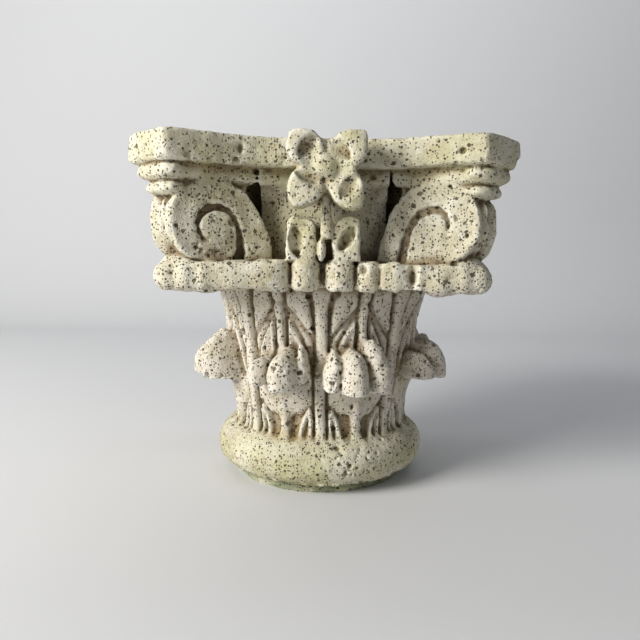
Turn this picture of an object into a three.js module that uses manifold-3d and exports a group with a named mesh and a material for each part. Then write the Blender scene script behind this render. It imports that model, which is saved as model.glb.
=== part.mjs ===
// Corinthian capital, cast in one piece of stone-coloured mix: a round foot and torus, a bell
// wrapped in two rows of acanthus leaves, paired corner volutes, and a concave-sided abacus with
// a four-petalled flower on each side. Millimetres, +Z up, origin at the centre of the underside,
// one flower faces -Y.
import * as THREE from 'three';
import { mergeVertices } from 'three/addons/utils/BufferGeometryUtils.js';
import Module from 'manifold-3d';

// ---- driving dimensions -------------------------------------------------------------------
const HEIGHT = 406;            // underside of the foot to the bed of the abacus
const ABACUS_THICK = 31;
const ABACUS_IN = 158;         // the cut corner runs from (IN, OUT) to (OUT, IN)
const ABACUS_OUT = 206;
const ABACUS_MID = 157;        // axis to the middle of each hollowed side
const ABACUS_EASE = 3;         // eased arris, top and bottom
const BED_INSET = 15;          // moulding under the abacus, set back from its face
const BED_LOW = 358;
const FOOT_R = 110;
const FOOT_H = 10;
const TORUS_R = 107;           // centre line of the torus
const TORUS_T = 28;            // its section radius
const TORUS_Z = 37.5;
const WALL_R = 132;            // plain drum behind the volutes
const RIB = 9;                 // how far ribs stand off the hollows of the bell
const RING_LOW = 244;          // lips of the upper leaf tips
const RING_TOP = 277;
const RING_FACE = 178;         // axis to the front of the upper row of tips
const RING_CORNER = 240;       // axis to the corner tips, on the diagonal
const TIP_LOW = 129;           // lips of the lower leaf tips
const TIP_TOP = 174;
const TIP_R = 168;
const VOLUTE_X = 113;          // eye of each volute: along the side, off the axis, up
const VOLUTE_Y = 165.4;
const VOLUTE_Z = 318;
const VOLUTE_CANT = 24.4;      // degrees each volute face is turned away from its side
const VOLUTE_A = 48.5;         // half-width and half-height of the roll
const VOLUTE_B = 42.5;
const SPINE_R = 240;           // axis to the back of the paired roll, on the diagonal
const SPINE_W = 39;
const FLOWER_Z = 370;
const FLOWER_Y = 207;
const PETAL = 39;              // reach of a petal sideways and up

const rad = THREE.MathUtils.degToRad;
const wasm = await Module();
wasm.setup();

// Turns a closed three.js geometry into a solid.
function solid(geometry) {
  const bare = geometry.index ? geometry.clone() : geometry.clone();
  for (const name of Object.keys(bare.attributes)) if (name !== 'position') bare.deleteAttribute(name);
  const g = mergeVertices(bare, 1e-3);
  const keep = [];
  const ix = g.index.array;
  for (let i = 0; i < ix.length; i += 3) {
    const [a, b, c] = [ix[i], ix[i + 1], ix[i + 2]];
    if (a !== b && b !== c && a !== c) keep.push(a, b, c);
  }
  const made = new wasm.Manifold(new wasm.Mesh({
    numProp: 3,
    vertProperties: new Float32Array(g.attributes.position.array),
    triVerts: new Uint32Array(keep),
  }));
  if (made.volume() < 0) {
    for (let i = 0; i < keep.length; i += 3) [keep[i], keep[i + 1]] = [keep[i + 1], keep[i]];
    return new wasm.Manifold(new wasm.Mesh({
      numProp: 3,
      vertProperties: new Float32Array(g.attributes.position.array),
      triVerts: new Uint32Array(keep),
    }));
  }
  return made;
}

// A box with segs [nx, ny, nz] whose corners (u, v, w), each from 0 to 1, are sent to fn(u, v, w).
function bent(segs, fn) {
  const g = new THREE.BoxGeometry(1, 1, 1, ...segs);
  const p = g.attributes.position;
  for (let i = 0; i < p.count; i++) {
    const [x, y, z] = fn(p.getX(i) + 0.5, p.getY(i) + 0.5, p.getZ(i) + 0.5);
    p.setXYZ(i, x, y, z);
  }
  return g;
}

const polar = (az, r, z) => [r * Math.sin(rad(az)), -r * Math.cos(rad(az)), z];

// Radius of the hollows of the bell at height z, between the torus and the upper tips.
const BELL = [[50, 104], [90, 105], [130, 109], [180, 116], [221, 124], [262, 132]];
function bellR(z) {
  if (z <= BELL[0][0]) return BELL[0][1];
  for (let i = 1; i < BELL.length; i++) {
    if (z <= BELL[i][0]) {
      const t = (z - BELL[i - 1][0]) / (BELL[i][0] - BELL[i - 1][0]);
      return BELL[i - 1][1] + t * (BELL[i][1] - BELL[i - 1][1]);
    }
  }
  return BELL.at(-1)[1];
}

// ---- drum: foot, torus and the wall behind the volutes, turned about the axis ----------------
function drum() {
  const profile = [[0, 0], [FOOT_R, 0], [FOOT_R, FOOT_H]];
  for (let a = -75; a <= 75; a += 30) {
    profile.push([TORUS_R + TORUS_T * Math.cos(rad(a)), TORUS_Z + TORUS_T * Math.sin(rad(a))]);
  }
  profile.push([80, 66], [80, 255], [WALL_R, 270], [WALL_R, 380], [0, 380]);
  return new THREE.LatheGeometry(profile.map(([r, z]) => new THREE.Vector2(r, z)), 28).rotateX(Math.PI / 2);
}

// ---- bell: a turned surface whose stations follow the edges of the leaves carved on it --------
// Height of the carving over the hollows, at azimuth a from the nearest upper leaf's midrib (0 to
// 22.5 degrees, where 22.5 is the middle of a lower leaf) and height z.
const step = (x, edge, soft) => THREE.MathUtils.smoothstep(x, edge - soft, edge + soft);
const band = (x, mid, half, soft) => step(x, mid - half, soft) * (1 - step(x, mid + half, soft));
function carving(a, z) {
  const midrib = 1 - step(a, 3.3 + 0.8 * step(z, 235, 15), 0.7);
  const stem = (1 - step(z, 150, 12)) * (1 - step(22.5 - a, 3.2, 0.9));
  const stalk = step(z, 170, 8) * (1 - step(22.5 - a, 2.8, 0.9));
  const foot = band(a, 9.5, 3.6 * Math.max(0, 1 - Math.pow(Math.max(z - 50, 0) / 58, 2.5)), 0.9) * (1 - step(z, 104, 6));
  // the lower leaf spreads above its stem and closes to a point behind the stalk
  const reach = z < 118 ? 0 : 19 * (1 - Math.pow((z - 118) / 98, 2.2));
  const leaf = reach > 0 ? (1 - step(22.5 - a, reach, 1.2)) * step(z, 116, 6) : 0;
  // the lobe of the upper leaf leaves the midrib and sweeps outwards as it rises
  const tail = 3 + Math.max(0, (z - 192) * 0.36), top = 3 + Math.max(0, (z - 192) * 0.62);
  const lobe = z > 192 ? (1 - step(a, Math.min(top, 19), 1.2)) * step(a, Math.min(tail, 9) - 6, 2) : 0;
  return Math.max(RIB * midrib, RIB * stem, (RIB - 1) * stalk, (RIB - 2) * foot, (RIB - 3) * leaf, (RIB - 4) * lobe);
}
function bell() {
  const half = [0, 2.6, 4.1, 6.8, 11.6, 16.5, 19.9];
  const sector = [...half, 22.5, ...half.slice(1).reverse().map((a) => 45 - a)];
  const stations = [];
  for (let k = 0; k < 8; k++) for (const a of sector) stations.push(45 * k + a);
  const rows = [52, 92, 108, 121, 152, 186, 214, 256];
  const profile = [[0, rows[0]], ...rows.map((z) => [bellR(z), z]), [0, rows.at(-1)]];
  const g = new THREE.LatheGeometry(profile.map(([r, z]) => new THREE.Vector2(r, z)), stations.length);
  const p = g.attributes.position;
  const n = profile.length;
  for (let i = 0; i < p.count; i++) {
    const [r, z] = profile[i % n];
    const az = stations[Math.floor(i / n) % stations.length];
    const a = az % 45, near = a > 22.5 ? 45 - a : a;
    const [x, y] = polar(az, r > 0 ? r + carving(near, z) : 0, z);
    p.setXYZ(i, x, y, z);
  }
  return g;
}

// ---- abacus: square with cut corners and hollowed sides --------------------------------------
function abacusOutline(inset) {
  const a = ABACUS_IN - inset * 0.42, b = ABACUS_OUT - inset * 1.0, mid = ABACUS_MID - inset * 1.25;
  const sag = b - mid;
  const r = (a * a + sag * sag) / (2 * sag);
  const shape = new THREE.Shape();
  const steps = 6;
  for (let k = 0; k < 4; k++) {
    for (let i = 0; i <= steps; i++) {
      const x = -a + (2 * a * i) / steps;
      const y = -(mid + r - Math.sqrt(r * r - x * x));
      const c = Math.cos(k * Math.PI / 2), s = Math.sin(k * Math.PI / 2);
      const [px, py] = [x * c - y * s, x * s + y * c];
      if (k === 0 && i === 0) shape.moveTo(px, py); else shape.lineTo(px, py);
    }
  }
  shape.closePath();
  return shape;
}
function abacus() {
  return new THREE.ExtrudeGeometry(abacusOutline(ABACUS_EASE), {
    depth: ABACUS_THICK - 2 * ABACUS_EASE, bevelEnabled: true, bevelSegments: 1,
    bevelSize: ABACUS_EASE, bevelThickness: ABACUS_EASE,
  }).translate(0, 0, HEIGHT - ABACUS_THICK + ABACUS_EASE);
}
function bedMoulding() {
  return new THREE.ExtrudeGeometry(abacusOutline(BED_INSET), {
    depth: HEIGHT - ABACUS_THICK - BED_LOW + 1, bevelEnabled: false,
  }).translate(0, 0, BED_LOW);
}

// ---- volutes ---------------------------------------------------------------------------------
// Outline in the plane of the face: u runs from the corner towards the middle of the side, w up.
// The roll is an ellipse; a stalk rises from the upper leaves and lands on top of it.
function voluteShape() {
  const s = new THREE.Shape();
  const start = 62;
  s.moveTo(start, -46);
  const outer = [[60, -30], [54, -4], [42, 20], [25, 36.5]];
  for (const [u, w] of outer) s.lineTo(u, w);
  for (let a = 80; a <= 320; a += 26) s.lineTo(VOLUTE_A * Math.cos(rad(a)), VOLUTE_B * Math.sin(rad(a)));
  // back up along the inside of the stalk, leaving a notch between roll and stalk
  for (const [u, w] of [[27, -18], [29.5, -14], [31.5, -22], [32, -46]]) s.lineTo(u, w);
  s.closePath();
  return s;
}
// The groove that winds between the outer turn and the eye.
function grooveShape() {
  const s = new THREE.Shape();
  const pts = [];
  const from = -25, to = 222, n = 5;
  for (let i = 0; i <= n; i++) {
    const a = rad(from + (to - from) * i / n);
    const r = 23.5 - 3 * i / n;
    const half = 3.2 - 1.5 * i / n;
    pts.push([3 + (r + half) * Math.cos(a), -9 + (r + half) * Math.sin(a), 3 + (r - half) * Math.cos(a), -9 + (r - half) * Math.sin(a)]);
  }
  pts.forEach((p, i) => (i ? s.lineTo(p[0], p[1]) : s.moveTo(p[0], p[1])));
  pts.slice().reverse().forEach((p) => s.lineTo(p[2], p[3]));
  s.closePath();
  return s;
}
// Places geometry drawn in (u, w, depth) on the left volute face of the -Y side, depth inwards
// and growing away from the corner, where two volutes meet back to back.
function onVolute(g, side) {
  const c = Math.cos(rad(VOLUTE_CANT)), s = Math.sin(rad(VOLUTE_CANT));
  const p = g.attributes.position;
  for (let i = 0; i < p.count; i++) {
    const u = p.getX(i), w = p.getY(i), d = p.getZ(i) * (1 + 0.006 * u);
    p.setXYZ(i, side * (-VOLUTE_X + u * c - d * s), -VOLUTE_Y + u * s + d * c, VOLUTE_Z + w);
  }
  return g;
}
function volute(side) {
  return onVolute(new THREE.ExtrudeGeometry(voluteShape(), { depth: 43, bevelEnabled: false }), side);
}
function groove(side) {
  return onVolute(new THREE.ExtrudeGeometry(grooveShape(), { depth: 9, bevelEnabled: false }).translate(0, 0, -3), side);
}
// Back of the paired roll: a short cylinder across the diagonal, with the lobes of the small leaf
// that curls over it below the abacus.
function spine() {
  const parts = [];
  const roll = new THREE.CylinderGeometry(VOLUTE_B, VOLUTE_B, SPINE_W, 14);
  roll.rotateZ(Math.PI / 2).translate(0, -(SPINE_R - VOLUTE_B), VOLUTE_Z);
  parts.push(roll);
  for (const [r, z, size] of [[SPINE_R - 12, 351, 10], [SPINE_R - 6, 365, 11]]) {
    const lobe = new THREE.CylinderGeometry(size, size, SPINE_W + 12, 5);
    lobe.rotateZ(Math.PI / 2).translate(0, -(r - size), z);
    parts.push(lobe);
  }
  parts.push(new THREE.BoxGeometry(SPINE_W + 8, 60, 24).translate(0, -(SPINE_R - 48), 366));
  for (const p of parts) p.rotateZ(rad(-45));
  return parts;
}

// ---- leaf tips -------------------------------------------------------------------------------
// A tip is a hood: domed above, cut off level below, deeper than it is wide.
function tip(x, y, turn, half, deep, low, high, segs = 6) {
  const profile = [[0, 0], [1, 0.06], [0.78, 0.82], [0, 1]];
  return new THREE.LatheGeometry(profile.map(([r, z]) => new THREE.Vector2(r, z)), segs)
    .rotateX(Math.PI / 2).rotateZ(rad(180 / segs)).scale(half, deep, high - low)
    .rotateZ(rad(turn)).translate(x, y, low);
}
// The upper row is one shelf, nearly square in plan, whose edge is scalloped into tips: three
// pairs along each side and three lobes of the leaf at each corner.
function upperTips() {
  const c = RING_CORNER / Math.SQRT2;
  const side = [
    [-136, 18.5, 23, -149, 0], [-94, 18, 14, -(RING_FACE - 18), 6], [-55, 19, 15, -(RING_FACE - 16), 3], [-18.5, 15.5, 14, -(RING_FACE - 14), 0],
    [18.5, 15.5, 14, -(RING_FACE - 14), 0], [55, 19, 15, -(RING_FACE - 16), -3], [94, 18, 14, -(RING_FACE - 18), -6], [136, 18.5, 23, -149, 0],
    [c - 11, 9.5, 15, -(c - 11), 45],
  ];
  const s = new THREE.Shape();
  let begun = false;
  for (let k = 0; k < 4; k++) {
    const co = Math.cos(k * Math.PI / 2), si = Math.sin(k * Math.PI / 2);
    for (const [x, half, bulge, y, turn] of side) {
      for (let i = 0; i <= 3; i++) {
        const t = Math.PI * (0.1 + 0.8 * i / 3);
        const ct = Math.cos(rad(turn)), st = Math.sin(rad(turn));
        const [lx, ly] = [-half * Math.cos(t), -bulge * Math.sin(t)];
        const [ax, ay] = [x + lx * ct - ly * st, y + lx * st + ly * ct];
        const [px, py] = [ax * co - ay * si, ax * si + ay * co];
        if (begun) s.lineTo(px, py); else s.moveTo(px, py);
        begun = true;
      }
    }
  }
  s.closePath();
  // rounded over towards the top: the upper edge draws in, the widest line is above the lip
  const g = new THREE.ExtrudeGeometry(s, { depth: 1, steps: 2, bevelEnabled: false });
  const p = g.attributes.position;
  for (let i = 0; i < p.count; i++) {
    const layer = Math.round(p.getZ(i) * 2);
    const r = Math.hypot(p.getX(i), p.getY(i));
    const k = 1 - [1.5, 0, 7][layer] / r;
    p.setXYZ(i, p.getX(i) * k, p.getY(i) * k, [RING_LOW, RING_TOP - 12, RING_TOP][layer]);
  }
  return g;
}
// One lower leaf's tip: a middle hood between two smaller ones.
function lowerTips(az) {
  const out = [];
  for (const [da, r, half, deep, low, high] of [[0, TIP_R - 31, 15, 36, TIP_LOW, TIP_TOP], [-11.5, TIP_R - 41, 11, 30, TIP_LOW + 2, TIP_TOP + 3], [11.5, TIP_R - 41, 11, 30, TIP_LOW + 2, TIP_TOP + 3]]) {
    const [x, y] = polar(az + da, r, 0);
    out.push(tip(x, y, az + da * 1.5, half, deep, low, high, da ? 5 : 6));
  }
  return out;
}

// ---- flower and the husk below it, on each side of the abacus --------------------------------
function flower() {
  const out = [];
  const back = 128;
  // A petal is a hollowed lozenge that lifts towards its outer corner.
  for (const [sx, sz] of [[-1, -1], [-1, 1], [1, -1], [1, 1]]) {
    const reachZ = sz > 0 ? (HEIGHT - FLOWER_Z) * 0.985 : PETAL + 1;
    out.push(bent([2, 2, 1], (u, v, w) => {
      // (u, v) runs from the boss (0, 0) to the far corner (1, 1)
      const a = 0.12 + 0.88 * u, b = 0.12 + 0.88 * v;
      const round = u === 0.5 && v === 0.5 ? 0.94 : 1 - 0.22 * Math.abs(a - b) * (a > b ? 1 : 1);
      const x = PETAL * (u === 1 && v === 1 ? 0.93 : a * round + (u > v ? 0.1 : 0));
      const z = reachZ * (u === 1 && v === 1 ? 0.93 : b * round + (v > u ? 0.1 : 0));
      const rim = Math.max(Math.abs(u - 0.5), Math.abs(v - 0.5)) * 2;
      const lift = -8 * (1 - Math.max(u, v)) - 7 * (1 - rim);
      const y = w > 0.5 ? -(FLOWER_Y + lift) : -back;
      return [sx * x, y, FLOWER_Z + sz * z];
    }));
  }
  out.push(new THREE.SphereGeometry(13, 6, 3).rotateX(Math.PI / 2).scale(1, 0.8, 1).translate(0, -(FLOWER_Y - 13), FLOWER_Z));
  out.push(new THREE.BoxGeometry(30, FLOWER_Y - 24 - back, 30).translate(0, -(back + FLOWER_Y - 24) / 2, FLOWER_Z));
  // stem, spreading downwards
  out.push(bent([1, 1, 1], (u, v, w) => [(u - 0.5) * (16 - 10 * v), w > 0.5 ? -(158 + 22 * v * v) : -124, RING_TOP - 8 + (FLOWER_Z - 12 - RING_TOP + 8) * v]));
  // two blocky husk leaves, each with a hollow face
  for (const s of [-1, 1]) {
    out.push(bent([2, 2, 1], (u, v, w) => {
      const x = s * (8 + 31 * u) * (1 - 0.06 * v * (1 - u));
      const hollow = w > 0.5 ? 7 * (1 - Math.max(Math.abs(u - 0.5), Math.abs(v - 0.5)) * 2) : 0;
      const y = w > 0.5 ? -(RING_FACE - hollow - 3 * v) : -122;
      return [x, y, RING_TOP - 10 + (VOLUTE_Z + 4 - RING_TOP + 10) * v];
    }));
  }
  return out;
}

// ---- the capital -----------------------------------------------------------------------------
const quarter = [];
for (const side of [-1, 1]) quarter.push(solid(volute(side)));
for (const g of spine()) quarter.push(solid(g));
for (const g of flower()) quarter.push(solid(g));
let one = wasm.Manifold.union(quarter);
for (const side of [-1, 1]) one = one.subtract(solid(groove(side)));

const all = [solid(drum()), solid(bell()), solid(abacus()), solid(bedMoulding()), solid(upperTips())];
for (let k = 0; k < 4; k++) all.push(one.rotate([0, 0, 90 * k]));
for (let k = 0; k < 8; k++) for (const g of lowerTips(45 * k + 22.5)) all.push(solid(g));
const whole = wasm.Manifold.union(all);

const mesh = whole.getMesh();
const geometry = new THREE.BufferGeometry();
geometry.setAttribute('position', new THREE.BufferAttribute(new Float32Array(mesh.vertProperties), 3));
geometry.setIndex(new THREE.BufferAttribute(new Uint32Array(mesh.triVerts), 1));
geometry.computeVertexNormals();

const capital = new THREE.Mesh(
  geometry,
  new THREE.MeshStandardMaterial({ color: 0xcfc8b0, roughness: 0.95, metalness: 0 }),
);
capital.name = 'capital';

const group = new THREE.Group();
group.add(capital);
export default group;
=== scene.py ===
import math

import bpy
import numpy as np
import openvdb as vdb
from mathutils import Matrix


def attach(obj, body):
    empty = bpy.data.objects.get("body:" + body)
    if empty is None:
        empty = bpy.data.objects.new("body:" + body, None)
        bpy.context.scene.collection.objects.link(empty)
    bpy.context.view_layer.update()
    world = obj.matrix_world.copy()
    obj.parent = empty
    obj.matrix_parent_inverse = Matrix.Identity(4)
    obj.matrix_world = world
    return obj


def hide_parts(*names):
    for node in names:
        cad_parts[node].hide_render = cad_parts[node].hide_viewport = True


# The capital is one cast stone. Its visible surface is the zero level of a signed distance field,
# in millimetres, that is filled in shape by shape on a regular grid, worn, pitted and then meshed.
# The front is -Y. What belongs to one side is written once, for the front, and turned four times.

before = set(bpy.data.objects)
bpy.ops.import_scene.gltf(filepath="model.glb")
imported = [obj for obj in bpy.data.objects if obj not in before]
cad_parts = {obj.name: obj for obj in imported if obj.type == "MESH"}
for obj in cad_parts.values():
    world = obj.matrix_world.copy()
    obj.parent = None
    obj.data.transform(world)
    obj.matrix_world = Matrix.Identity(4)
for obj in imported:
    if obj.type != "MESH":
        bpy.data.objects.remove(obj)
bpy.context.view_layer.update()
f32 = np.float32

# ---------------------------------------------------------------- grid
H = 1.5
N = int(math.ceil(214 / H))
XS = (np.arange(-N, N + 1) * H).astype(f32)
ZS = np.arange(-4, 412, H).astype(f32)
NX, NZ = len(XS), len(ZS)
RNG = np.random.default_rng(20611)


def rad(a):
    return a * math.pi / 180


def smooth(x, a, b):
    t = np.clip((x - a) / (b - a), 0, 1)
    return t * t * (3 - 2 * t)


def smin(a, b, k):
    if k <= 0:
        return np.minimum(a, b)
    h = np.maximum(k - np.abs(a - b), 0) / k
    return np.minimum(a, b) - h * h * (k / 4)


def smax(a, b, k):
    return -smin(-a, -b, k)


def span(axis, lo, hi):
    i = int(np.searchsorted(axis, lo))
    j = int(np.searchsorted(axis, hi, side="right"))
    return slice(max(i, 0), max(min(j, len(axis)), 0))


def window(lo, hi, pad):
    sx, sy, sz = (
        span(XS, lo[0] - pad, hi[0] + pad),
        span(XS, lo[1] - pad, hi[1] + pad),
        span(ZS, lo[2] - pad, hi[2] + pad),
    )
    return (sx, sy, sz), XS[sx][:, None, None], XS[sy][None, :, None], ZS[sz][None, None, :]


def add(field, lo, hi, fn, k=3.0):
    """Joins a shape to the field, smoothly over k mm. lo and hi bound the shape."""
    s, x, y, z = window(lo, hi, k + 5)
    field[s] = smin(field[s], fn(x, y, z).astype(f32), k)


def cut(field, lo, hi, fn, k=1.5):
    s, x, y, z = window(lo, hi, k + 4)
    field[s] = smax(field[s], -fn(x, y, z).astype(f32), k)


# ---------------------------------------------------------------- shapes
def ellipsoid(c, r, turn=0.0, power=2.0):
    """turn is about Z, in degrees."""
    co, si = math.cos(rad(turn)), math.sin(rad(turn))

    def fn(x, y, z):
        dx, dy, dz = x - c[0], y - c[1], z - c[2]
        a, b = (dx * co + dy * si) / r[0], (-dx * si + dy * co) / r[1]
        g = dz / r[2]
        if power == 2.0:
            q = np.sqrt(a * a + b * b + g * g)
        else:
            q = (np.abs(a) ** power + np.abs(b) ** power + np.abs(g) ** power) ** (1 / power)
        return (q - 1) * min(r) * (0.5 + 0.5 * max(r) / min(r) * 0.6)

    m = max(r[0], r[1])
    return (c[0] - m, c[1] - m, c[2] - r[2]), (c[0] + m, c[1] + m, c[2] + r[2]), fn


def block(c, half, edge, turn=0.0, lean=0.0):
    """A box with rounded edges, turned about Z and leaning outwards with height."""
    co, si = math.cos(rad(turn)), math.sin(rad(turn))

    def fn(x, y, z):
        dx, dy, dz = x - c[0], y - c[1], z - c[2]
        a, b = dx * co + dy * si, -dx * si + dy * co + lean * dz
        qa, qb, qc = np.abs(a) - half[0] + edge, np.abs(b) - half[1] + edge, np.abs(dz) - half[2] + edge
        out = np.sqrt(np.maximum(qa, 0) ** 2 + np.maximum(qb, 0) ** 2 + np.maximum(qc, 0) ** 2)
        return out + np.minimum(np.maximum(np.maximum(qa, qb), qc), 0) - edge

    m = math.hypot(half[0], half[1]) + abs(lean) * half[2]
    return (c[0] - m, c[1] - m, c[2] - half[2]), (c[0] + m, c[1] + m, c[2] + half[2]), fn


def polygon(pts, u, w):
    """Signed distance to a closed outline, inside negative."""
    p = np.asarray(pts, float)
    best = np.full(np.broadcast(u, w).shape, 1e9, f32)
    sign = np.ones(best.shape, bool)
    for i in range(len(p)):
        a, b = p[i], p[i - 1]
        e = b - a
        du, dw = u - a[0], w - a[1]
        t = np.clip((du * e[0] + dw * e[1]) / (e @ e), 0, 1)
        best = np.minimum(best, (du - e[0] * t) ** 2 + (dw - e[1] * t) ** 2)
        c1 = w >= a[1]
        c2 = w < b[1]
        c3 = e[0] * dw > e[1] * du
        sign ^= (c1 & c2 & c3) | (~c1 & ~c2 & ~c3)
    return np.where(sign, 1, -1) * np.sqrt(best)


def path(pts, u, w):
    """Distance to a line whose points are (u, w, radius)."""
    best = np.full(np.broadcast(u, w).shape, 1e9, f32)
    for (au, aw, ar), (bu, bw, br) in zip(pts, pts[1:]):
        eu, ew = bu - au, bw - aw
        t = np.clip(((u - au) * eu + (w - aw) * ew) / (eu * eu + ew * ew + 1e-9), 0, 1)
        best = np.minimum(best, np.sqrt((u - au - eu * t) ** 2 + (w - aw - ew * t) ** 2) - ar - (br - ar) * t)
    return best


def turned(flat, depth_outer, depth_inner, edge):
    """A drawn outline given thickness, with its edges eased."""
    a = flat + edge
    b = np.maximum(depth_outer, depth_inner) + edge
    return np.sqrt(np.maximum(a, 0) ** 2 + np.maximum(b, 0) ** 2) + np.minimum(np.maximum(a, b), 0) - edge


def noise(cell, seed, shape=None, lo=(-214, -214, -4), hi=(214, 214, 412)):
    """Smooth noise from -1 to 1 on the whole grid, with features about cell mm across."""
    g = np.random.default_rng(seed)
    n = [int((hi[i] - lo[i]) / cell) + 3 for i in range(3)]
    v = g.uniform(-1, 1, n).astype(f32)
    for ax, coords in enumerate((XS, XS, ZS)):
        t = (coords - lo[ax]) / cell
        t = np.clip(t, 0, v.shape[ax] - 1.001)
        i = t.astype(int)
        w = t - i
        w = (w * w * (3 - 2 * w)).astype(f32)
        sh = [1, 1, 1]
        sh[ax] = len(w)
        w = w.reshape(sh)
        v = np.take(v, i, ax) * (1 - w) + np.take(v, i + 1, ax) * w
    return v


# ---------------------------------------------------------------- one side, for the front
side = np.full((NX, NX, NZ), 40.0, f32)

# volutes: flat spiral discs, each canted towards its corner, that stand on the ring
VOLUTES = {
    -1: dict(
        eye=(-113.0, -165.4), cant=24.4, z=318.0,
        outline=[(64, -44), (63.5, -29), (60.5, -16), (55, -4), (49, 9), (41.5, 21), (34, 29.5), (25, 36), (15, 40), (4, 41.5), (-9, 41.5), (-19, 40), (-28, 35), (-36, 27.5), (-42.5, 22), (-46.5, 14), (-47.5, 6), (-47.5, -4), (-46, -15), (-42, -25), (-37, -33), (-30, -38), (-22, -41.5), (-7, -43.5), (0, -45)],
        groove=[(23, -47, 8.5), (27.5, -34, 4.6), (27, -22, 3.6), (25.5, -11, 3.0), (21, 2, 2.9), (14, 10, 3.0), (4, 14, 3.1), (-7, 12.5, 3.2), (-15.5, 6, 3.0), (-19.5, -3, 2.6), (-18, -12, 2.0), (-13.5, -20, 1.6), (-9, -22, 1.2)],
        depth=[13, 13, 10, 8, 7, 7, 7.5, 8, 7.5, 6.5, 5, 4, 2],
    ),
    1: dict(
        eye=(113.0, -165.4), cant=24.4, z=318.0,
        outline=[(61, -44), (60, -33), (57.5, -20), (52.5, -5), (48, 8), (41, 21), (33, 30), (22, 37.5), (11, 42), (0, 43.5), (-13, 43), (-22, 40.5), (-31, 36), (-37.5, 31), (-43, 25), (-47.5, 14), (-50.5, 0), (-49.5, -14), (-47, -20), (-41, -28), (-34, -35), (-24, -40), (-8, -42), (6, -45)],
        groove=[(33, -46, 5.4), (31.5, -34, 4.6), (29.5, -22, 3.9), (26, -9, 3.4), (20.5, 2, 3.0), (13, 9.5, 2.9), (3, 13.5, 2.8), (-6, 13.5, 2.7), (-13, 9, 2.4), (-16.5, 1, 2.0), (-16.5, -8, 1.7), (-15, -16, 1.3)],
        depth=[9, 8.5, 8, 7, 6.5, 6, 5.5, 5, 4.5, 4, 3.4, 2],
    ),
}
for hand, v in VOLUTES.items():
    co, si = math.cos(rad(v["cant"])), math.sin(rad(v["cant"]))

    def local(x, y, z, hand=hand, v=v, co=co, si=si):
        dx, dy = (x - v["eye"][0]) * -hand, y - v["eye"][1]
        return dx * co + dy * si, dx * si - dy * co, z - v["z"]  # u to the middle, n outwards, w up

    def disc(x, y, z, v=v, local=local):
        u, n, w = local(x, y, z)
        flat = polygon(v["outline"], u, w)
        ru = np.hypot(u * 0.9 + 2, w)
        dish = 1.6 * smooth(ru, 16, 34) * (1 - smooth(ru, 36, 44))  # the outer turn is a little hollow
        return turned(flat, n + dish, -n - (43 + 0.25 * u), 3.2)

    x0, x1 = sorted((hand * 44, hand * 186))
    add(side, (x0, -206, 268), (x1, -96, 364), disc, 2.0)

    def channel(x, y, z, v=v, local=local):
        u, n, w = local(x, y, z)
        best = None
        for (a, b), (da, db) in zip(zip(v["groove"], v["groove"][1:]), zip(v["depth"], v["depth"][1:])):
            d = path([a, b], u, w) + 0.0
            d = np.maximum(d, -(n + (da + db) / 2))
            best = d if best is None else smin(best, d, 2.0)
        return best

    cut(side, (min(x0, x1), -206, 262), (max(x0, x1), -130, 340), channel, 2.2)

# the leaf that runs down the back of each pair of volutes, on the left corner's diagonal


def diagonal(x, y):
    """(across, outwards) of the front-left corner."""
    q = math.sqrt(0.5)
    return (x - y) * q, (-x - y) * q


def spine(x, y, z):
    a, o = diagonal(x, y)
    dz = z - 318
    roll = np.sqrt((np.abs(dz) / 44) ** 2.4 + (np.clip(o - 150, -90, 200) / 88.5) ** 2.4 + 0 * a)
    body = (roll ** (1 / 1.2) - 1) * 38
    cross = np.abs(a) - 22 + 0 * z
    furrow = 2.6 * np.cos(a * (2 * math.pi / 14.5)) * smooth(22 - np.abs(a), 0, 5)
    notch = 3.5 * np.exp(-(((dz - 30 + np.abs(a) * 0.5) / 3.4) ** 2)) + 2.4 * np.exp(-(((dz - 3) / 4.5) ** 2)) * smooth(-a, -8, 8)
    return smax(body + notch - furrow * 0.7, cross, 5)


add(side, (-186, -186, 270), (-80, -80, 366), spine, 2.5)

# upper row of leaf tips: a squarish shelf with rounded lobes along its edge
LOBES = [  # middle x, half width, face y, low, top, turn
    (-95.5, 18.2, -178.5, 243.5, 276.5, 8), (-56.5, 20.5, -178, 243.0, 277.5, 3), (-19, 15.0, -178, 243.5, 279, 0),
    (18.5, 16.2, -178, 243.5, 278, 0), (48.5, 14.6, -178, 243.5, 276.5, -2), (76, 8.6, -179, 243.5, 277, -4), (101.5, 4.8, -181, 245, 275, -8),
]


def shelf(x, y, z):
    ax = np.abs(x)
    face = -158 - 8 * smooth(ax, 60, 120)
    d = np.maximum(face - y, (ax - y) * 0.7071 - 226)
    return smax(smax(d, np.abs(z - 261) - 13.5, 6), -y * 0 + (y + 60), 1)


add(side, (-172, -182, 246), (172, -60, 276), shelf, 0)
for cx, hw, fy, low, top, turn in LOBES:
    lo, hi, fn = block((cx, fy + 26, (low + top) / 2), (hw, 26, (top - low) / 2), min(9.5, hw * 0.8), turn, 0.06)

    def lobe(x, y, z, fn=fn, cx=cx, hw=hw, fy=fy, low=low):
        # bulging in the middle, hollowed below, with a level lip
        t = np.clip((x - cx) / hw, -1.2, 1.2)
        d = fn(x, y - 7.0 * t * t, z)
        return smax(d, low + 0.6 - z, 1.6)

    add(side, lo, hi, lobe, 1.2)
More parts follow.
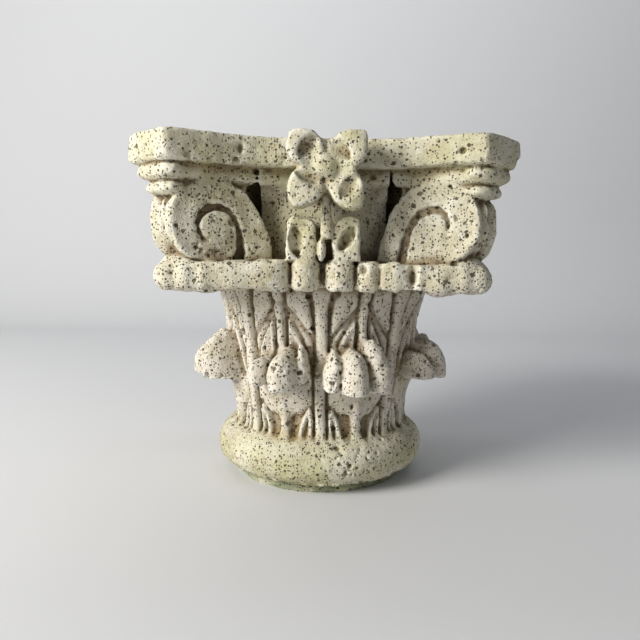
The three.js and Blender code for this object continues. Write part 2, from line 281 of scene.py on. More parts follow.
# gaps between the lobes, and the deep one at the right
for gx, w, deep in [(-115, 3.2, 12), (-76, 3.2, 12), (-34.8, 3.0, 12), (-0.5, 3.0, 14), (34.3, 2.8, 11), (63.5, 3.0, 12), (90.5, 6.0, 27), (108, 2.6, 13)]:
    def gap(x, y, z, gx=gx, w=w, deep=deep):
        return (np.sqrt(((x - gx) / w) ** 2 + ((y + 183) / deep) ** 2) - 1) * w + 0 * z
    cut(side, (gx - w, -183 - deep, 240), (gx + w, -183 + deep, 282), gap, 1.6)
for cx, hw, fy, low, top, turn in LOBES:  # the hollow behind each lip
    cut(side, *ellipsoid((cx, fy + 19, low - 3), (hw * 0.72, 11, 9)), 2.0)

# corner masses of the upper row: several lumps of curled leaf on the diagonal
for c, r, t in [
    ((-122, -165, 259), (17, 16, 17.5), 20), ((-144, -163, 260), (17, 18, 18), 30), ((-163, -163, 259), (15, 15, 15), 45),
    ((-163, -144, 260), (18, 17, 18), 60), ((-165, -122, 259), (16, 17, 17.5), 70), ((-152, -152, 271), (19, 19, 13), 45),
    ((-128, -158, 254), (14, 13, 11), 20), ((-158, -128, 254), (13, 14, 11), 70),
]:
    add(side, *ellipsoid(c, r, t, 2.5), 4.0)

# the flower at the middle of the abacus
FZ = 370.0
PETALS = [
    dict(shape=[(-36, 403), (-31, 405.5), (-24, 406), (-14, 405), (-8, 402), (-2, 394), (1, 384), (2, 372), (-8, 371), (-22, 371), (-31, 374), (-37, 381), (-39.5, 390)], hollow=((-17, 387.5), (8.5, 13), -38, 9), front=-205),
    dict(shape=[(3, 389), (8, 397), (14, 402.5), (22, 405.5), (33, 406), (40, 405), (41.5, 398), (41, 389), (40, 381), (35, 374), (29, 369), (12, 369), (2, 371)], hollow=((14.5, 387), (7.5, 15.5), 42, 12), front=-206),
    dict(shape=[(29, 370), (35, 362), (38.5, 352), (39, 340), (37, 331), (30, 328.5), (22, 330), (11, 336), (4, 346), (1, 360), (2, 370)], hollow=((24, 349), (8, 13), -36, 5), front=-204),
    dict(shape=[(0, 347), (-3, 341), (-8, 336.5), (-20, 330), (-31, 329.5), (-37, 337), (-38, 347), (-35, 357), (-29, 366), (-20, 371), (-2, 371)], hollow=((-19, 361), (7, 14), 62, 11), front=-205),
]


def petal(p):
    def fn(x, y, z):
        cx = sum(q[0] for q in p["shape"]) / len(p["shape"])
        flat = polygon(p["shape"], x, z)
        r = np.hypot(x, z - FZ)
        sag = 7.0 * (1 - smooth(r, 10, 30)) + 0.004 * (x - cx) ** 2
        return turned(flat, -y + p["front"] + sag, y - (p["front"] + 36) + 0 * x, 3.4)
    return fn


def petal_hollow(p):
    (hx, hz), (ra, rb), turn, deep = p["hollow"]
    co, si = math.cos(rad(turn)), math.sin(rad(turn))

    def fn(x, y, z):
        a, b = ((x - hx) * co + (z - hz) * si) / ra, (-(x - hx) * si + (z - hz) * co) / rb
        g = (y - p["front"] - 2) / deep
        return (np.sqrt(a * a + b * b + g * g) - 1) * 7
    return fn


for p in PETALS:
    add(side, (-43, -209, 322), (43, -165, 408), petal(p), 1.5)
for p in PETALS:
    cut(side, (-43, -222, 322), (43, -190, 408), petal_hollow(p), 1.6)
add(side, *ellipsoid((0.5, -196, 371), (12, 9, 12), 0, 2.4), 3.0)
# furrows between the petals
for a, b in [((0, 384), (1, 409)), ((0, 356), (1.5, 326))]:
    cut(side, (-10, -222, 320), (10, -186, 410), lambda x, y, z, a=a, b=b: np.maximum(path([(a[0], a[1], 0.6), (b[0], b[1], 4.2)], x, z), y + 190), 1.5)
# body behind the flower, back to the wall
add(side, *block((0, -163, 372), (27, 32, 26), 8), 6.0)

# stem, bud and husk under the flower
add(side, (-9, -190, 272), (14, -150, 352), lambda x, y, z: turned(path([(1.6, 352, 3.2), (2.4, 330, 5), (3.2, 306, 6.6)], x, z), -y - 181 + 9 * smooth(z, 300, 352) + 0.05 * (x - 2) ** 2, y + 150, 2.5), 2.5)
add(side, *ellipsoid((-2.0, -174, 289), (4.4, 8, 12)), 1.2)
HUSKS = [
    dict(shape=[(-39, 277), (-39.5, 296), (-38.5, 318), (-33, 323.5), (-22, 321), (-12, 320), (-8.5, 312), (-8, 296), (-9, 277)], hollow=((-28.5, 297.5), (7.4, 17), 4, 9), front=-175.5),
    dict(shape=[(11, 277), (9, 296), (10.5, 310), (15, 321), (27, 324), (37, 321), (38.5, 300), (37.5, 286), (39, 277)], hollow=((24.5, 300), (7, 15), -30, 9), front=-176.5),
]
for p in HUSKS:
    def husk(x, y, z, p=p):
        return turned(polygon(p["shape"], x, z), -y + p["front"] + 2.5 * smooth(z, 300, 324), y - (p["front"] + 40), 3.0)
    add(side, (-42, -184, 268), (42, -138, 326), husk, 1.2)
    (hx, hz), (ra, rb), turn, deep = p["hollow"]

    def hollow(x, y, z, hx=hx, hz=hz, ra=ra, rb=rb, turn=turn, deep=deep, p=p):
        co, si = math.cos(rad(turn)), math.sin(rad(turn))
        a, b = ((x - hx) * co + (z - hz) * si) / ra, (-(x - hx) * si + (z - hz) * co) / rb
        return (np.sqrt(a * a + b * b + ((y - p["front"] - 1) / deep) ** 2) - 1) * 6
    cut(side, (-42, -192, 268), (42, -160, 326), hollow, 1.6)

# lower leaf tips, at 22.5 degrees each side of the midribs: hoods with level lips, hollow below


def hood(az, r, half, deep, low, top, lean=0.0, hollow=0.75):
    """A curled tip at azimuth az whose outermost point is r from the axis."""
    x0, y0 = (r - deep) * math.sin(rad(az)), -(r - deep) * math.cos(rad(az))
    co, si = math.cos(rad(az)), math.sin(rad(az))
    zc, h = low + 4, top - low - 4

    def fn(x, y, z):
        dx, dy = x - x0, y - y0
        t = dx * co + dy * si + lean * (z - zc)
        o = dx * si - dy * co
        q = (np.abs(t / half) ** 2.1 + np.abs(np.maximum(o, -deep * 0.9) / deep) ** 2.6 + np.abs((z - zc) / h) ** 2.3) ** (1 / 2.3)
        d = (q - 1) * half * 0.9
        return smax(d, low - z, 2.0)

    lo = (x0 - deep - 4, y0 - deep - 4, low - 2)
    hi = (x0 + deep + 4, y0 + deep + 4, top + 2)

    def under(x, y, z):
        dx, dy = x - x0, y - y0
        t = (dx * co + dy * si) / (half * hollow)
        o = (dx * si - dy * co) / (deep * hollow)
        g = (z - low + 4) / (h * 0.42)
        return (np.sqrt(t * t + o * o + g * g) - 1) * half * 0.6

    return lo, hi, fn, under


TIPS = [
    # front left leaf
    (-17.4, 168, 19.5, 37, 131, 176, 0.02), (-30.0, 158, 14.5, 31, 133, 166, -0.08), (-8.6, 147, 6.8, 19, 134, 181, 0.05),
    # front right leaf
    (14.8, 168, 18.5, 37, 129.5, 176, 0.0), (5.0, 156, 11.0, 28, 131, 174, -0.06), (26.6, 164, 17.5, 35, 128, 187, 0.08),
]
# each leaf is written once and turned, so the two leaves of a side are told apart by hand
for az, r, half, deep, low, top, lean in TIPS:
    lo, hi, fn, under = hood(az, r, half, deep, low, top, lean)
    add(side, lo, hi, fn, 2.2)
for az, r, half, deep, low, top, lean in TIPS:
    lo, hi, fn, under = hood(az, r, half, deep, low, top, lean)
    cut(side, (lo[0], lo[1], low - 8), (hi[0], hi[1], low + 18), under, 2.0)

# ---------------------------------------------------------------- the four sides together
D = side.copy()
for k in (1, 2, 3):
    D = np.minimum(D, np.rot90(side, k, axes=(0, 1)))
del side

# ---------------------------------------------------------------- bell with its carved leaves
BELL_Z = [44, 60, 74, 88, 108, 115, 126, 180, 200, 221, 230, 262]
BELL_R = [115, 113.5, 113.5, 114.5, 117.5, 119.5, 120.5, 126.5, 129, 132.8, 136, 143]
AZ = np.arange(0, 360, 0.25)
az2 = AZ[:, None]
zz = ZS[None, :].astype(float)
wob = np.random.default_rng(5)
# hand carving: every leaf strays a little from its neighbours
stray = np.interp(AZ, np.arange(0, 361, 15), np.append(w := wob.uniform(-0.7, 0.7, 24), w[0]))[:, None]
stray2 = np.interp(AZ, np.arange(0, 361, 9), np.append(w := wob.uniform(-1, 1, 40), w[0]))[:, None]
fold = (az2 + stray * smooth(zz, 60, 120) + 0.35 * np.sin(zz / 17 + az2 * 0.3)) % 45
a = np.where(fold > 22.5, 45 - fold, fold) * np.ones_like(zz)  # degrees from the upper leaf's midrib
z_ = zz + 1.6 * stray2 + 0 * a
K = 2.1  # mm for each degree
s_ = a * K
t_ = (22.5 - a) * K


def rim(d, e=1.0):
    return smooth(-d, -e, e)


def level(pts, top, e=1.0, crown=0.0, width=6.0):
    d = polygon([(p[0] * K, p[1]) for p in pts], s_, z_)
    return rim(d, e) * (top + crown * smooth(-d, 0, width))


parts = []
# midrib, spreading at its head and a little at its toe
wm = 7.4 + 4.5 * smooth(z_, 222, 246) + 2.0 * (1 - smooth(z_, 50, 66))
parts.append(rim(s_ - wm) * (9.6 - 1.9 * (s_ / wm) ** 2))
# lobe of the upper leaf that leaves the midrib low and opens outwards
parts.append(level([(4.6, 190), (5.0, 203), (6.3, 224), (8.0, 250), (23, 250), (23, 236), (20, 228), (15.5, 217), (10.5, 204), (6.5, 193)], 5.2, 1.1, 2.0, 6))
# ground between that lobe and the lower leaf
parts.append(level([(4.3, 140), (4.4, 186), (6.5, 189), (11.5, 199.5), (17.5, 214.5), (20.5, 223), (22.5, 226), (22.5, 218), (19.5, 216.5), (15.3, 207.5), (11.6, 193), (8.2, 175), (5.6, 158), (4.4, 141)], 4.3, 1.1))
# lower leaf: an ogive with raised margins and a hollow field
blade = [(4.3, 128), (5.2, 143), (6.9, 158), (9.4, 175), (12.8, 192), (16.4, 206), (18.6, 213.5), (18.9, 204), (18.6, 128)]
dB = polygon([(p[0] * K, p[1]) for p in blade], s_, z_)
parts.append(rim(dB, 1.0) * (7.4 - 3.0 * smooth(-dB, 1.5, 8) - 0.8 * smooth(z_, 150, 215)))
# stalks above the lower tips
parts.append(rim(t_ - (5.8 - 0.8 * smooth(z_, 190, 240))) * smooth(z_, 128, 136) * (9.4 - 2.2 * (t_ / 6.0) ** 2))
parts.append(rim(np.abs(t_ - 11.3) - 1.9) * smooth(z_, 165, 176) * (1 - smooth(z_, 236, 243)) * 6.8)
# lower zone: stem of the lower leaf, arched hollow, foot lobe with a teardrop hollow
parts.append(rim(t_ - (6.6 + 2.5 * smooth(z_, 104, 126))) * (1 - smooth(z_, 128, 140)) * (9.6 - 1.8 * (t_ / 7.0) ** 2))
web = [(3.9, 134), (4.0, 106), (6.8, 107), (8.8, 103), (10.5, 98), (13.2, 93), (15, 95), (17.4, 91), (19.8, 84), (22.5, 84), (22.5, 136)]
parts.append(level(web, 6.0, 1.4, 2.0, 10) + 0 * a)
foot = polygon([(p[0] * K, p[1]) for p in [(4.9, 46), (4.6, 76), (5.4, 98), (6.8, 105), (8.6, 101), (11.6, 88), (13.6, 70), (14.2, 46)]], s_, z_)
tear = path([(9.4 * K, 56, 3.4), (8.8 * K, 76, 3.0), (7.6 * K, 95, 0.8)], s_, z_)
parts.append(rim(foot, 1.0) * (8.0 - 5.5 * smooth(-tear, -1.0, 1.4)))
Hm = np.zeros_like(a)
for p in parts:
    Hm = smax(Hm, p, 1.0)
# furrows with a crisp bed: at the midrib, under the upper lobe, round the lower leaf, by the stalk
for pts, deep in [
    ([(4.05 * K, 48, 1.0), (4.0 * K, 120, 1.3), (3.95 * K, 190, 1.2), (5.0 * K, 226, 1.9), (6.6 * K, 248, 2.6)], 7.0),
    ([(5.0 * K, 187, 1.0), (10.6 * K, 201, 1.6), (17 * K, 217.5, 1.8), (21.5 * K, 230, 1.0)], 6.0),
    ([(4.7 * K, 150, 0.9), (7.6 * K, 170, 1.3), (11.4 * K, 189.5, 1.5), (15.6 * K, 206, 1.6), (19.4 * K, 216.5, 1.2)], 5.5),
    ([(19.2 * K, 176, 1.6), (19.1 * K, 205, 1.4), (19.3 * K, 240, 1.2)], 7.5),
]:
    Hm = Hm - (deep * (1 - smooth(path(pts, s_, z_), -0.4, 1.6))) * smooth(Hm, 0.5, 5)
Hm = np.maximum(Hm, 0)
surface = np.interp(ZS, BELL_Z, BELL_R)[None, :] - 9.4 + Hm
# the leaves turn outwards under the two rows of tips
surface += 5.5 * smooth(ZS, 112, 132)[None, :] * (1 - smooth(ZS, 138, 160))[None, :] * smooth(a, 8, 15)
surface = surface.astype(f32)
gz = np.gradient(surface, H, axis=1)
ga = np.gradient(surface, rad(0.25) * 122, axis=0)
slope = (1 / np.sqrt(1 + np.minimum(gz * gz + ga * ga, 12))).astype(f32)

X2, Y2 = np.meshgrid(XS, XS, indexing="ij")
R2 = np.hypot(X2, Y2)
A2 = (np.degrees(np.arctan2(X2, -Y2)) % 360) / 0.25
ii, jj = np.nonzero(R2 < 172)
zb = span(ZS, 40, 262)
ai = A2[ii, jj]
i0 = ai.astype(int) % len(AZ)
i1 = (i0 + 1) % len(AZ)
fr = (ai - np.floor(ai)).astype(f32)[:, None]
S = surface[i0][:, zb] * (1 - fr) + surface[i1][:, zb] * fr
G = slope[i0][:, zb] * (1 - fr) + slope[i1][:, zb] * fr
bell = (R2[ii, jj][:, None] - S) * G
zband = ZS[zb][None, :]
bell = smax(bell, 44 - zband, 1)
old = D[ii, jj, zb]
D[ii, jj, zb] = smin(old, bell.astype(f32), 2.4)
del S, G, bell, old

# ---------------------------------------------------------------- drum, torus, foot, abacus
R3 = R2[:, :, None]


def whole(z0, z1, fn, k):
    s = span(ZS, z0 - k - 4, z1 + k + 4)
    D[:, :, s] = smin(D[:, :, s], fn(ZS[s][None, None, :]).astype(f32), k)


whole(9, 68, lambda z: np.hypot(R3 - 107.5, z - 37.4) - 27.9, 9.0)
whole(10, 60, lambda z: smax(R3 - 108, np.abs(z - 36) - 26, 3), 4)
whole(0, 12, lambda z: smax(R3 - 110.5, z - 10.5, 4), 2.0)
whole(250, 404, lambda z: smax(R3 - (132 + 9 * smooth(z, 342, 362)), np.abs(z - 326) - 76, 4), 7.0)

PX = [0, 40, 60, 85, 106, 124, 142, 158, 230]
PY = [157.5, 158.5, 160.5, 169, 178, 187.5, 198, 206.3, 240]


def plan(inset, mid):
    """Outline of the abacus set back by inset at the corners and mid more halfway along."""
    d = None
    for q, p in ((-Y2, X2), (Y2, X2), (X2, Y2), (-X2, Y2)):
        e = (q - np.interp(np.abs(p), PX, PY) + inset + mid * (1 - smooth(np.abs(p), 70, 150))) * 0.9
        d = e if d is None else smax(d, e, 3)
    corner = (np.abs(X2) + np.abs(Y2)) * 0.7071 - 257.4 + inset
    return smax(d, corner, 4)[:, :, None].astype(f32)


P0 = plan(0, 0)
whole(374, 406, lambda z: smax(P0, np.abs(z - 390.2) - 15.6, 5.0), 1.2)
P1 = plan(15.5, 9)
whole(356, 380, lambda z: smax(P1 - 1.5, np.abs(z - 368) - 11, 7.0), 4.5)
P2 = plan(25, 16)
whole(342, 364, lambda z: smax(P2, np.abs(z - 354) - 11, 8.0), 6.0)
# a roll under each corner of the moulding
for sx in (-1, 1):
    for sy in (-1, 1):
        t = 45 * sx * sy
        add(D, *ellipsoid((sx * 170, sy * 170, 366), (34, 15, 9.5), -t, 2.4), 3.0)
        add(D, *ellipsoid((sx * 166, sy * 166, 350), (27, 14, 7.5), -t, 2.4), 2.5)

# ---------------------------------------------------------------- wear
lump = noise(26, 11)
grain = noise(7.5, 12)
D += 1.15 * lump + 0.55 * grain
D += 0.9 * noise(13, 13) * (0.4 + 0.6 * np.clip(lump + 0.4, 0, 1))


def blur(v):
    for ax in range(3):
        p = [(1, 1) if i == ax else (0, 0) for i in range(3)]
        w = np.pad(v, p, mode="edge")
        sl = [slice(None)] * 3
        a_, c_ = list(sl), list(sl)
        a_[ax], c_[ax] = slice(0, -2), slice(2, None)
        v = 0.25 * w[tuple(a_)] + 0.5 * v + 0.25 * w[tuple(c_)]
    return v


D = blur(D)
D += 0.42 * noise(3.4, 14) * (0.45 + 0.55 * (XS < 30))[None, :, None]
# rough, broken edge of the foot
s = span(ZS, -4, 16)
D[:, :, s] += (2.2 * noise(9, 17)[:, :, s]) * (R3 > 95)

# chips: the bitten top edge right of the flower, corners, lips of the tips
for c, r, t in [
    ((77, -168, 409), (9.5, 9, 7), 20), ((-170, -206, 409), (16, 8, 6), 10), ((-206, -166, 372), (7, 12, 6), 0),
    ((183, -190, 408), (18, 8, 5), 45), ((-128, -196, 408), (8, 5, 5), 0), ((92, -181, 262), (5.5, 12, 15), -12),
    ((-176, -150, 243), (14, 14, 8), 0), ((116, -176, 279), (6, 9, 6), 0), ((205, -160, 378), (6, 9, 9), 0),
    ((-118, -181, 244), (7, 9, 6), 0), ((148, -166, 241), (9, 10, 5), 0),
]:
    cut(D, *ellipsoid(c, r, t), 2.5)

# pits of the stone, seeded; the sides away from the front are plainer
near = np.argwhere(np.abs(D[::2, ::2, ::2]) < H * 0.9) * 2
RNG.shuffle(near)


def pits(n, rmin, rmax, share_back, deep=1.0, stretch=1.6, where=None):
    done, k = 0, 0
    global near
    while done < n and k < len(near):
        i, j, l = near[k]
        k += 1
        x, y, z = float(XS[i]), float(XS[j]), float(ZS[l])
        if z < 6 or z > 403 and RNG.random() < 0.7:
            continue
        if y > 20 and RNG.random() > share_back:
            continue
        if where is not None and RNG.random() > where(x, y, z):
            continue
        r = rmin + (rmax - rmin) * RNG.random() ** 2.2
        st = RNG.uniform(1, stretch, 3)
        st /= st.min()
        rr = r * st / st.mean()
        c = (x + RNG.uniform(-1, 1), y + RNG.uniform(-1, 1), z + RNG.uniform(-1, 1))
        m = float(rr.max()) + H + 1
        sw, px, py, pz = window((c[0] - m, c[1] - m, c[2] - m), (c[0] + m, c[1] + m, c[2] + m), 0)
        q = np.sqrt(((px - c[0]) / rr[0]) ** 2 + ((py - c[1]) / rr[1]) ** 2 + ((pz - c[2]) / rr[2]) ** 2)
        D[sw] = np.maximum(D[sw], ((1 - q) * r * deep).astype(f32))
        done += 1
    near = np.roll(near, -k, axis=0)


pits(40, 4.0, 6.0, 0.25)
pits(230, 2.6, 4.2, 0.25)
pits(2700, 1.5, 2.7, 0.3)
# the large pits that show on the front
for c, r in [
    ((-135, -196, 380), (5.5, 6, 5)), ((-87, -170, 391), (4, 5, 6)), ((-104, -176, 377), (3, 3, 3)), ((-128, -192, 391), (2.5, 3, 3.5)),
    ((47, -124, 137), (5.5, 5, 4.5)), ((44, -178, 140), (5, 6, 6)), ((-75, -103, 198), (3.2, 4, 3.6)),
    ((-16, -128, 236), (5, 5, 3)), ((57, -160, 300), (3, 5, 3)), ((30, -132, 30), (2.5, 5, 7)),
]:
    cut(D, *ellipsoid(c, r), 0.8)

# level beds top and bottom, and nothing past the stone's own size
D = np.maximum(D, (0.0 - ZS)[None, None, :])
D = smax(D, (ZS - 405.6)[None, None, :] + 0 * D, 1.0)
lim = np.maximum(np.abs(XS) - 206.6, -50)
D = np.maximum(D, lim[:, None, None])
D = np.maximum(D, lim[None, :, None])
D[0], D[-1] = 5, 5
D[:, 0], D[:, -1] = 5, 5
D[:, :, 0], D[:, :, -1] = 5, 5
D = np.clip(D, -12, 12).astype(f32)

# ---------------------------------------------------------------- mesh
grid = vdb.FloatGrid(20.0)
grid.copyFromArray(D)
pts, tris, quads = grid.convertToPolygons(isovalue=0.0, adaptivity=0.0)
co_mm = pts.astype(float) * H
co_mm[:, 0] += float(XS[0])
co_mm[:, 1] += float(XS[0])
co_mm[:, 2] += float(ZS[0])

# keep the one connected stone: label the pieces and drop loose crumbs and inner bubbles
label = np.arange(len(co_mm))
edges = np.concatenate([quads[:, [0, 1]], quads[:, [1, 2]], quads[:, [2, 3]]]).astype(np.int64)
for _ in range(400):
    m = np.minimum(label[edges[:, 0]], label[edges[:, 1]])
    new = label.copy()
    np.minimum.at(new, edges[:, 0], m)
    np.minimum.at(new, edges[:, 1], m)
    new = new[new]
    new = new[new]
    if (new == label).all():
        break
    label = new
ids, counts = np.unique(label, return_counts=True)
main = ids[counts.argmax()]
keepq = label[quads[:, 0]] == main
quads = quads[keepq]
used = np.zeros(len(co_mm), bool)
used[quads.ravel()] = True
remap = np.cumsum(used) - 1
co_mm = co_mm[used]
quads = remap[quads][:, ::-1]

me = bpy.data.meshes.new("capital_stone")
me.vertices.add(len(co_mm))
me.vertices.foreach_set("co", (co_mm * 0.001).astype(f32).ravel())
me.loops.add(len(quads) * 4)
me.loops.foreach_set("vertex_index", quads.astype(np.int32).ravel())
me.polygons.add(len(quads))
me.polygons.foreach_set("loop_start", np.arange(0, len(quads) * 4, 4, dtype=np.int32))
me.polygons.foreach_set("loop_total", np.full(len(quads), 4, np.int32))
me.update(calc_edges=True)
me.validate()
stone = bpy.data.objects.new("capital_stone", me)
bpy.context.scene.collection.objects.link(stone)

LIMIT = 198000
dec = stone.modifiers.new("decimate", "DECIMATE")
dec.ratio = min(1.0, LIMIT / (2 * len(quads)))
dec.use_collapse_triangulate = True
bpy.context.view_layer.objects.active = stone
stone.select_set(True)
bpy.ops.object.modifier_apply(modifier=dec.name)
me = stone.data
me.polygons.foreach_set("use_smooth", np.ones(len(me.polygons), bool))
print("capital_stone", len(me.vertices), "vertices", len(me.polygons), "faces")

# ---------------------------------------------------------------- where the stone is hollow or proud
solid = (D < 0).astype(f32)


def shrink(v, n):
    """Mean over a cube of 2n+1 cells."""
    for ax in range(3):
        c = np.cumsum(v, axis=ax, dtype=np.float64)
        pad = [(0, 0)] * 3
        pad[ax] = (n + 1, n)
        c = np.pad(c, pad, mode="edge")
        first = [slice(None)] * 3
        first[ax] = slice(0, n + 1)
        c[tuple(first)] = 0
        hi_, lo_ = [slice(None)] * 3, [slice(None)] * 3
        hi_[ax] = slice(2 * n + 1, None)
        lo_[ax] = slice(0, -(2 * n + 1))
        v = ((c[tuple(hi_)] - c[tuple(lo_)]) / (2 * n + 1)).astype(f32)
    return v


def at_vertices(v, co):
    g = (co - np.array([XS[0], XS[0], ZS[0]])) / H
    g = np.clip(g, 0, np.array(v.shape) - 1.001)
    i = g.astype(int)
    f = g - i
    out = 0
    for dx in (0, 1):
        for dy in (0, 1):
            for dz in (0, 1):
                w = (f[:, 0] if dx else 1 - f[:, 0]) * (f[:, 1] if dy else 1 - f[:, 1]) * (f[:, 2] if dz else 1 - f[:, 2])
                out = out + w * v[i[:, 0] + dx, i[:, 1] + dy, i[:, 2] + dz]
    return out


vc = np.zeros(len(me.vertices) * 3, f32)
me.vertices.foreach_get("co", vc)
vc = vc.reshape(-1, 3).astype(float) * 1000
fine = at_vertices(shrink(solid, max(2, round(4 / H))), vc)
broad = at_vertices(shrink(solid, round(13 / H)), vc)
for name, val in (("hollow_fine", (fine - 0.5) * 2), ("hollow_broad", (broad - 0.5) * 2)):
    at = me.attributes.new(name, "FLOAT", "POINT")
    at.data.foreach_set("value", val.astype(f32))
del D, solid

# ---------------------------------------------------------------- the stone's material
mat = bpy.data.materials.new("stone")
mat.use_nodes = True
nt = mat.node_tree
nt.nodes.clear()
L = nt.links


def node(kind, **kw):
    n = nt.nodes.new(kind)
    for k, v in kw.items():
        setattr(n, k, v)
    return n


def put(sock, val):
    if isinstance(val, bpy.types.NodeSocket):
        L.new(val, sock)
    else:
        sock.default_value = val


def math_(op, a_, b_=0.0, clamp=False):
    n = node("ShaderNodeMath", operation=op, use_clamp=clamp)
    put(n.inputs[0], a_)
    put(n.inputs[1], b_)
    return n.outputs[0]


def ramp(v, a_, b_, lo_=0.0, hi_=1.0):
    n = node("ShaderNodeMapRange", interpolation_type="SMOOTHSTEP")
    put(n.inputs["Value"], v)
    put(n.inputs["From Min"], a_)
    put(n.inputs["From Max"], b_)
    put(n.inputs["To Min"], lo_)
    put(n.inputs["To Max"], hi_)
    return n.outputs[0]


def mix(fac, c1, c2, kind="MIX"):
    n = node("ShaderNodeMix", data_type="RGBA", blend_type=kind)
    put(n.inputs["Factor"], fac)
    put(n.inputs[6], c1 if not isinstance(c1, tuple) else (*c1, 1))
    put(n.inputs[7], c2 if not isinstance(c2, tuple) else (*c2, 1))
    return n.outputs[2]


coord = node("ShaderNodeTexCoord").outputs["Object"]
sep = node("ShaderNodeSeparateXYZ")
L.new(coord, sep.inputs[0])
PXs, PYs, PZs = sep.outputs


def tex_noise(scale, detail=3.0, rough=0.55, offset=(0, 0, 0)):
    m = node("ShaderNodeMapping")
    L.new(coord, m.inputs["Vector"])
    m.inputs["Location"].default_value = offset
    n = node("ShaderNodeTexNoise")
    L.new(m.outputs[0], n.inputs["Vector"])
    n.inputs["Scale"].default_value = scale
    n.inputs["Detail"].default_value = detail
    n.inputs["Roughness"].default_value = rough
    return n.outputs["Fac"]


def pores(cell_mm, rmin, rmax, keep, offset, squash=1.0):
    """Round holes, one at most in each cell, of many sizes: 1 inside, 0 outside."""
    m = node("ShaderNodeMapping")
    L.new(coord, m.inputs["Vector"])
    m.inputs["Location"].default_value = offset
    m.inputs["Scale"].default_value = (1, 1, squash)
    jig = node("ShaderNodeTexNoise")
    L.new(coord, jig.inputs["Vector"])
    jig.inputs["Scale"].default_value = 420
    jig.inputs["Detail"].default_value = 1.0
    push = node("ShaderNodeVectorMath", operation="MULTIPLY_ADD")
    L.new(jig.outputs["Color"], push.inputs[0])
    push.inputs[1].default_value = (0.0016, 0.0016, 0.0016)
    L.new(m.outputs[0], push.inputs[2])
    v = node("ShaderNodeTexVoronoi", feature="F1", voronoi_dimensions="3D")
    L.new(push.outputs[0], v.inputs["Vector"])
    v.inputs["Scale"].default_value = 1000 / cell_mm
    v.inputs["Randomness"].default_value = 1.0
    sc = node("ShaderNodeSeparateColor")
    L.new(v.outputs["Color"], sc.inputs[0])
    size = ramp(sc.outputs[0], 1 - keep, 1.0, 0.0, 1.0)
    radius = math_("MULTIPLY_ADD", size, (rmax - rmin) / cell_mm)
    nt.nodes[-1].inputs[2].default_value = rmin / cell_mm
    on = math_("GREATER_THAN", sc.outputs[0], 1 - keep)
    d = math_("SUBTRACT", radius, v.outputs["Distance"])
    return math_("MULTIPLY", ramp(d, -0.25 / cell_mm, 0.55 / cell_mm), on)


fineA = node("ShaderNodeAttribute", attribute_name="hollow_fine").outputs["Fac"]
broadA = node("ShaderNodeAttribute", attribute_name="hollow_broad").outputs["Fac"]

n_big = tex_noise(9, 4, 0.6)
n_mid = tex_noise(34, 4, 0.6, (1.3, 0.2, 0.7))
n_fine = tex_noise(160, 3, 0.6, (0.4, 2.1, 0.3))
n_sand = tex_noise(620, 2, 0.6, (2.4, 0.1, 1.3))

base = mix(ramp(n_big, 0.38, 0.64), (0.50, 0.45, 0.31), (0.66, 0.61, 0.46))
base = mix(ramp(n_mid, 0.42, 0.68, 0, 0.55), base, (0.78, 0.755, 0.66))
base = mix(ramp(n_fine, 0.5, 0.75, 0, 0.45), base, (0.83, 0.81, 0.73))
# the sheltered bell is greyer and a little pink
bell_zone = math_("MULTIPLY", ramp(PZs, 0.06, 0.10), ramp(PZs, 0.252, 0.238))
base = mix(math_("MULTIPLY", bell_zone, ramp(n_mid, 0.3, 0.6, 0.25, 0.75)), base, (0.66, 0.60, 0.53))
# dirt and painted shade in the hollows: the more the stone closes round a point, the darker brown, standing in for the
# shade that falls there
base = mix(ramp(broadA, -0.02, 0.36, 0, 0.86), base, (0.27, 0.20, 0.115))
base = mix(ramp(fineA, 0.08, 0.5, 0, 0.85), base, (0.15, 0.11, 0.06))
# convex edges are paler: partly wear, partly a painted highlight where the edges catch the light
base = mix(ramp(fineA, -0.12, -0.5, 0, 0.55), base, (0.86, 0.84, 0.75))
# ochre stains
ochre = math_("MULTIPLY", ramp(tex_noise(22, 2, 0.5, (5.1, 3.3, 0.9)), 0.60, 0.70), ramp(broadA, -0.15, 0.3, 0.25, 1.0))
base = mix(math_("MULTIPLY", ochre, 0.38), base, (0.36, 0.24, 0.10))
# green algae: torus and foot, the flower, upper mouldings, in patches
low = ramp(PZs, 0.085, 0.02)
flower = ramp(math_("MAXIMUM", math_("MINIMUM", math_("ABSOLUTE", PXs), math_("ABSOLUTE", PYs)), 0.0), 0.075, 0.015)
flower = math_("MULTIPLY", flower, ramp(PZs, 0.26, 0.33))
high = ramp(PZs, 0.33, 0.38, 0, 0.42)
moss = math_("MAXIMUM", math_("MAXIMUM", low, math_("MULTIPLY", flower, 0.85)), high)
moss = math_("MULTIPLY", moss, ramp(tex_noise(17, 4, 0.65, (0.2, 4.4, 2.2)), 0.36, 0.62))
base = mix(math_("MULTIPLY", moss, 0.62), base, (0.46, 0.45, 0.20))
foot = ramp(PZs, 0.018, 0.006)
base = mix(math_("MULTIPLY", foot, ramp(n_mid, 0.35, 0.6, 0.3, 0.9)), base, (0.24, 0.27, 0.16))

# open pores: sunk in the bump, with painted shade inside them
p1 = pores(2.7, 0.32, 0.98, 0.72, (0.1, 0.3, 0.5))
p2 = pores(5.2, 0.65, 1.6, 0.5, (1.1, 0.7, 0.2), 1.15)
p3 = pores(12.0, 1.1, 2.6, 0.3, (0.6, 1.9, 1.4))
hole = math_("MAXIMUM", math_("MAXIMUM", p1, p2), p3)
# painted shade inside the pores, dark brown to near black
pore_shade_col = mix(ramp(n_mid, 0.55, 0.68), (0.075, 0.06, 0.04), (0.30, 0.20, 0.09))
base = mix(math_("MULTIPLY", hole, 0.93), base, pore_shade_col)
base = mix(ramp(n_sand, 0.55, 0.8, 0, 0.35), base, (0.40, 0.35, 0.25))

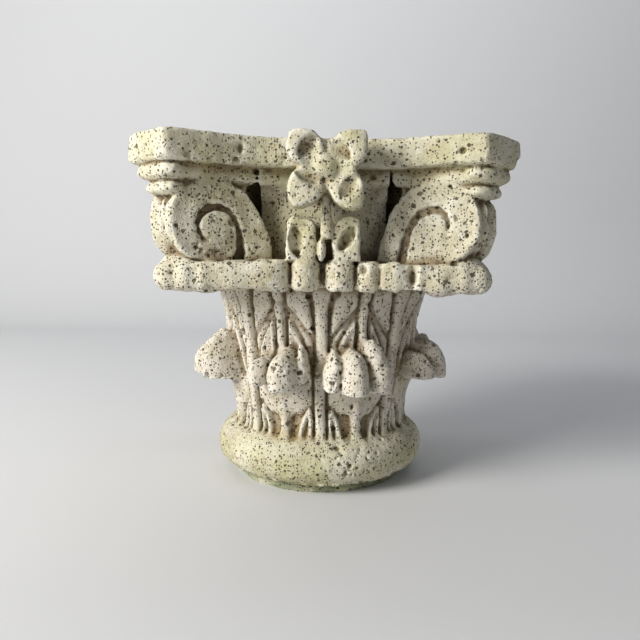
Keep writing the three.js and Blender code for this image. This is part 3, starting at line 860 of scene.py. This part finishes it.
bsdf = node("ShaderNodeBsdfPrincipled")
L.new(base, bsdf.inputs["Base Color"])
bsdf.inputs["Specular IOR Level"].default_value = 0.18
L.new(ramp(n_fine, 0.3, 0.7, 0.86, 0.98), bsdf.inputs["Roughness"])
height = math_("MULTIPLY_ADD", n_fine, 0.9)
nt.nodes[-1].inputs[2].default_value = 0.0
height = math_("ADD", height, math_("MULTIPLY", n_sand, 0.5))
height = math_("SUBTRACT", height, math_("MULTIPLY", hole, 1.6))
bump = node("ShaderNodeBump")
bump.inputs["Strength"].default_value = 1.0
bump.inputs["Distance"].default_value = 0.0016
L.new(height, bump.inputs["Height"])
L.new(bump.outputs[0], bsdf.inputs["Normal"])
out = node("ShaderNodeOutputMaterial")
L.new(bsdf.outputs[0], out.inputs["Surface"])
me.materials.clear()
me.materials.append(mat)

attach(stone, "root")
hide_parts("capital")

# ---------------------------------------------------------------- floor and backdrop, one sweep
prof = [(-3.0, 0.0), (1.35, 0.0)]
for i in range(1, 13):
    t = i / 12 * math.pi / 2
    prof.append((1.35 + 0.5 * math.sin(t), 0.5 - 0.5 * math.cos(t)))
prof.append((1.85, 3.6))
xs = [-4.5, 4.5]
verts = [(x, y, z) for x in xs for y, z in prof]
n = len(prof)
faces = [(i, i + 1, n + i + 1, n + i) for i in range(n - 1)]
fm = bpy.data.meshes.new("sweep")
fm.from_pydata(verts, [], faces)
fm.polygons.foreach_set("use_smooth", [True] * len(faces))
floor = bpy.data.objects.new("sweep", fm)
bpy.context.scene.collection.objects.link(floor)
fmat = bpy.data.materials.new("sweep")
fmat.use_nodes = True
fb = fmat.node_tree.nodes["Principled BSDF"]
fb.inputs["Base Color"].default_value = (0.70, 0.70, 0.71, 1)
fb.inputs["Roughness"].default_value = 0.85
fb.inputs["Specular IOR Level"].default_value = 0.2
fm.materials.append(fmat)


# ---------------------------------------------------------------- light
def area(name, loc, target, size, power, colour=(1, 1, 1)):
    d = bpy.data.lights.new(name, "AREA")
    d.shape = "RECTANGLE"
    d.size, d.size_y = size
    d.energy = power
    d.color = colour
    o = bpy.data.objects.new(name, d)
    o.location = loc
    v = np.array(target, float) - np.array(loc, float)
    v /= np.linalg.norm(v)
    from mathutils import Vector
    o.rotation_euler = Vector(v).to_track_quat("-Z", "Y").to_euler()
    bpy.context.scene.collection.objects.link(o)
    return o


area("key", (-2.1, -1.45, 1.25), (0, 0, 0.22), (1.2, 1.2), 98, (1.0, 0.985, 0.94))
area("fill", (2.2, -2.2, 1.8), (0, 0, 0.25), (2.5, 2.0), 4, (0.93, 0.96, 1.0))
area("backdrop", (0.0, 0.75, 2.3), (0, 1.75, 0.7), (3.0, 0.8), 12, (0.93, 0.96, 1.0))
world = bpy.data.worlds.new("studio")
world.use_nodes = True
world.node_tree.nodes["Background"].inputs[0].default_value = (0.88, 0.93, 1.0, 1)
world.node_tree.nodes["Background"].inputs[1].default_value = 0.17
bpy.context.scene.world = world
bpy.context.scene.view_settings.view_transform = "Standard"

# ---------------------------------------------------------------- camera, as the photograph was taken
cam = bpy.data.cameras.new("camera")
cam.sensor_width = 36
cam.lens = 33.75
co_ = bpy.data.objects.new("camera", cam)
co_.location = (-0.0024, -0.802, 0.2844)
from mathutils import Matrix
m = Matrix.Rotation(rad(90 - 6.31), 4, "X") @ Matrix.Rotation(rad(0.92), 4, "Z")
co_.rotation_euler = m.to_euler()
bpy.context.scene.collection.objects.link(co_)
bpy.context.scene.camera = co_
